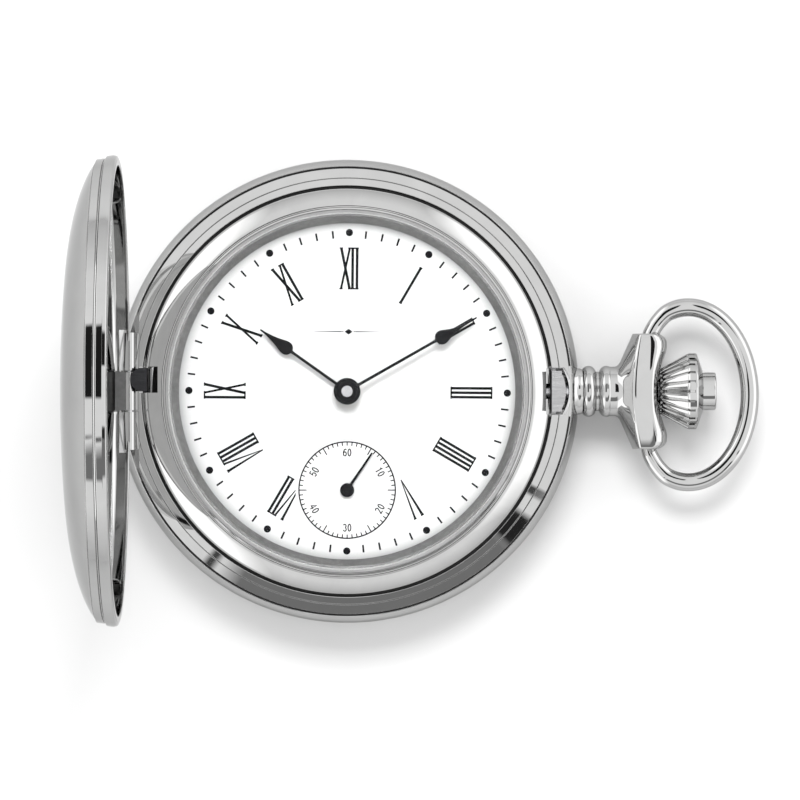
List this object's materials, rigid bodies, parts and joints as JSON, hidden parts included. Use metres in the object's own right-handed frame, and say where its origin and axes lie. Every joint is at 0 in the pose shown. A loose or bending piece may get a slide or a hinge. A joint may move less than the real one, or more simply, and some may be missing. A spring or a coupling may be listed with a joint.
{
  "type": "pocket watch",
  "caption": "Hunter-case pocket watch, hinged lid open at a right angle, white dial with small seconds, crown with pusher and oval bow at three o'clock.",
  "frame": {"origin": "centre of the flat of the case back, on the table plane", "axes": "+Z out of the dial, +Y to twelve o'clock, +X to the crown and bow at three o'clock"},
  "size_m": [0.0707, 0.048, 0.0539],
  "materials": {
    "polished_steel": "mirror polished",
    "spring_steel": "fine ground",
    "nickel_plate": "nickel plated, striped",
    "brass": "gilt",
    "blued_steel": "heat blued",
    "ruby": "polished synthetic ruby",
    "crystal": "clear",
    "gasket": "satin",
    "ring_plastic": "matte",
    "dial_white": "white lacquer with black print",
    "hand_black": "gloss black"
  },
  "bodies": {
    "case": {"case_middle": "polished_steel", "case_back": "polished_steel", "lid_hinge_pin": "spring_steel", "bezel": "polished_steel", "crystal": "crystal", "crystal_gasket": "gasket", "movement_ring": "ring_plastic", "lift_spring_screw": "spring_steel", "catch_spring_screw": "spring_steel", "pendant": "polished_steel", "pendant_tube": "brass", "dial": "dial_white", "main_plate": "nickel_plate", "barrel_bridge": "nickel_plate", "train_bridge": "nickel_plate", "pallet_bridge": "nickel_plate", "balance_cock": "nickel_plate", "bridge_screws": "blued_steel", "case_clamp_screws": "blued_steel", "train_jewels": "ruby", "balance_jewels": "ruby", "crown_wheel_core": "blued_steel", "click_spring": "blued_steel", "setting_lever_spring": "spring_steel", "hairspring": "blued_steel", "regulator": "spring_steel"},
    "lid": {"front_lid": "polished_steel"},
    "bow": {"bow": "polished_steel"},
    "winding_pinion": {"winding_pinion": "spring_steel"},
    "sliding_pinion": {"sliding_pinion": "spring_steel"},
    "stem": {"winding_stem": "spring_steel", "crown": "polished_steel", "pusher_spring": "spring_steel"},
    "pusher": {"pusher": "polished_steel"},
    "catch_spring": {"catch_spring": "spring_steel"},
    "lift_spring": {"lift_spring": "spring_steel"},
    "setting_lever": {"setting_lever": "spring_steel"},
    "yoke": {"yoke": "spring_steel"},
    "setting_wheel": {"setting_wheel": "spring_steel"},
    "crown_wheel": {"crown_wheel": "spring_steel"},
    "barrel_arbor": {"barrel_arbor": "spring_steel", "ratchet_wheel": "spring_steel", "ratchet_screw": "blued_steel"},
    "barrel": {"barrel": "brass", "mainspring": "blued_steel"},
    "minutes": {"centre_wheel": "brass", "cannon_pinion": "spring_steel", "minute_hand": "hand_black"},
    "hours": {"hour_wheel": "brass", "hour_hand": "hand_black"},
    "seconds": {"fourth_wheel": "brass", "seconds_hand": "hand_black"},
    "third_wheel": {"third_wheel": "brass"},
    "escape_wheel": {"escape_wheel": "spring_steel"},
    "minute_wheel": {"minute_wheel": "brass"},
    "pallet_fork": {"pallet_fork": "spring_steel", "pallet_stones": "ruby"},
    "balance": {"balance_wheel": "brass", "balance_staff": "spring_steel"},
    "click": {"click": "spring_steel"}
  },
  "joints": [
    {"name": "lid_hinge", "type": "hinge", "parent": "case", "child": "lid", "pos_m": [-0.0224, 0, 0.00815], "axis": [0, 1, 0], "range_deg": [0, 90], "stiffness_Nm_per_rad": 0.003, "springref_deg": -28.65},
    {"name": "bow_swing", "type": "hinge", "parent": "case", "child": "bow", "pos_m": [0.0312, 0, 0.0049], "axis": [0, 1, 0], "range_deg": [-115, 115]},
    {"name": "crown_turn", "type": "hinge", "parent": "case", "child": "winding_pinion", "pos_m": [0.014, 0, 0.0049], "axis": [1, 0, 0], "continuous": true},
    {"name": "crown_pull", "type": "slide", "parent": "winding_pinion", "child": "stem", "axis": [1, 0, 0], "range_m": [0, 0.001]},
    {"name": "sliding_pinion_shift", "type": "slide", "parent": "winding_pinion", "child": "sliding_pinion", "axis": [1, 0, 0], "range_m": [-0.0009, 0]},
    {"name": "pusher_press", "type": "slide", "parent": "stem", "child": "pusher", "axis": [1, 0, 0], "range_m": [-0.00055, 0], "stiffness_N_per_m": 500, "springref_m": 0.0003},
    {"name": "catch_slide", "type": "slide", "parent": "case", "child": "catch_spring", "axis": [1, 0, 0], "range_m": [-0.00055, 0]},
    {"name": "lift_slide", "type": "slide", "parent": "case", "child": "lift_spring", "axis": [1, 0, 0], "range_m": [0, 0.001]},
    {"name": "setting_lever_turn", "type": "hinge", "parent": "case", "child": "setting_lever", "pos_m": [0.0164, 0.0034, 0.0062], "axis": [0, 0, 1], "range_deg": [0, 17.5]},
    {"name": "yoke_turn", "type": "hinge", "parent": "case", "child": "yoke", "pos_m": [0.0092, 0.0044, 0.0062], "axis": [0, 0, 1], "range_deg": [-14.8, 0]},
    {"name": "crown_wheel_turn", "type": "hinge", "parent": "case", "child": "crown_wheel", "pos_m": [0.0106, 0, 0.0028], "axis": [0, 0, 1], "continuous": true},
    {"name": "ratchet_turn", "type": "hinge", "parent": "case", "child": "barrel_arbor", "pos_m": [0.0045, 0.0078, 0.0028], "axis": [0, 0, 1], "continuous": true},
    {"name": "click_lift", "type": "hinge", "parent": "case", "child": "click", "pos_m": [-0.0023, 0.0132, 0.0028], "axis": [0, 0, 1], "range_deg": [-7, 0], "stiffness_Nm_per_rad": 0.00001, "springref_deg": 17.19},
    {"name": "minute_turn", "type": "hinge", "parent": "case", "child": "minutes", "pos_m": [0, 0, 0.006], "axis": [0, 0, 1], "continuous": true},
    {"name": "hour_turn", "type": "hinge", "parent": "case", "child": "hours", "pos_m": [0, 0, 0.007], "axis": [0, 0, 1], "continuous": true},
    {"name": "seconds_turn", "type": "hinge", "parent": "case", "child": "seconds", "pos_m": [0, -0.0102, 0.005], "axis": [0, 0, 1], "continuous": true},
    {"name": "third_wheel_turn", "type": "hinge", "parent": "case", "child": "third_wheel", "pos_m": [0.00412, -0.00591, 0.005], "axis": [0, 0, 1], "continuous": true},
    {"name": "escape_wheel_turn", "type": "hinge", "parent": "case", "child": "escape_wheel", "pos_m": [-0.00468, -0.00895, 0.005], "axis": [0, 0, 1], "continuous": true},
    {"name": "barrel_turn", "type": "hinge", "parent": "case", "child": "barrel", "pos_m": [0.0045, 0.0078, 0.005], "axis": [0, 0, 1], "continuous": true},
    {"name": "minute_wheel_turn", "type": "hinge", "parent": "case", "child": "minute_wheel", "pos_m": [0.00338, -0.00123, 0.0063], "axis": [0, 0, 1], "continuous": true},
    {"name": "setting_wheel_turn", "type": "hinge", "parent": "case", "child": "setting_wheel", "pos_m": [0.00752, -0.00196, 0.0063], "axis": [0, 0, 1], "continuous": true},
    {"name": "pallet_fork_swing", "type": "hinge", "parent": "case", "child": "pallet_fork", "pos_m": [-0.00719, -0.0075, 0.004], "axis": [0, 0, 1], "range_deg": [-5, 5]},
    {"name": "balance_swing", "type": "hinge", "parent": "case", "child": "balance", "pos_m": [-0.01056, -0.00555, 0.0032], "axis": [0, 0, 1], "range_deg": [-270, 270], "stiffness_Nm_per_rad": 0.00000042}
  ],
  "couplings": [
    {"joint": "catch_slide", "follows": "pusher_press", "ratio": 1},
    {"joint": "lift_slide", "follows": "lid_hinge", "m_per_rad": 0.00063},
    {"joint": "sliding_pinion_shift", "follows": "crown_pull", "ratio": -0.9},
    {"joint": "setting_lever_turn", "follows": "crown_pull", "rad_per_m": 303},
    {"joint": "yoke_turn", "follows": "crown_pull", "rad_per_m": -257},
    {"joint": "crown_wheel_turn", "follows": "crown_turn", "ratio": 0.45833},
    {"joint": "ratchet_turn", "follows": "crown_turn", "ratio": -0.2619},
    {"joint": "hour_turn", "follows": "minute_turn", "ratio": 0.083333},
    {"joint": "seconds_turn", "follows": "minute_turn", "ratio": 60},
    {"joint": "third_wheel_turn", "follows": "minute_turn", "ratio": -8},
    {"joint": "escape_wheel_turn", "follows": "minute_turn", "ratio": -600},
    {"joint": "barrel_turn", "follows": "minute_turn", "ratio": -0.15385},
    {"joint": "minute_wheel_turn", "follows": "minute_turn", "ratio": -0.33333},
    {"joint": "setting_wheel_turn", "follows": "minute_turn", "ratio": 0.6}
  ]
}
